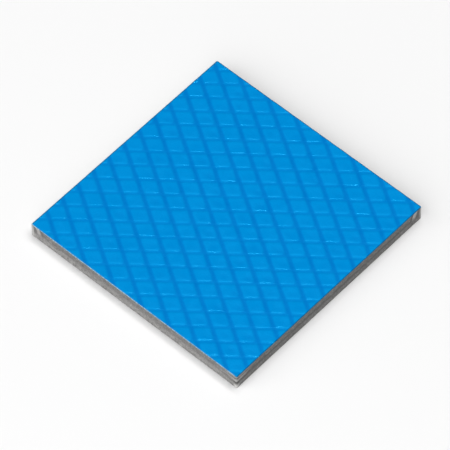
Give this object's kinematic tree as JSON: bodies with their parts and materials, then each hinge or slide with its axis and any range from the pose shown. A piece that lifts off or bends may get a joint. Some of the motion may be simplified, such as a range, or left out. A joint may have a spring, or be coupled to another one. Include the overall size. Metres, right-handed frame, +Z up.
{
  "type": "thermal pad sheet",
  "caption": "Square thermal pad sheet: a soft grey silicone gap filler slab under a blue release film embossed with diamonds.",
  "frame": {"origin": "centre of the slab's flat underside", "axes": "+Z up through the thickness, out of the embossed film; +X and +Y along the two sides of the square"},
  "size_m": [0.05, 0.05, 0.0035],
  "materials": {
    "grey_silicone": "matte",
    "blue_film": "satin"
  },
  "bodies": {
    "root": {"thermal_pad": "grey_silicone", "release_liner": "blue_film"}
  },
  "joints": []
}
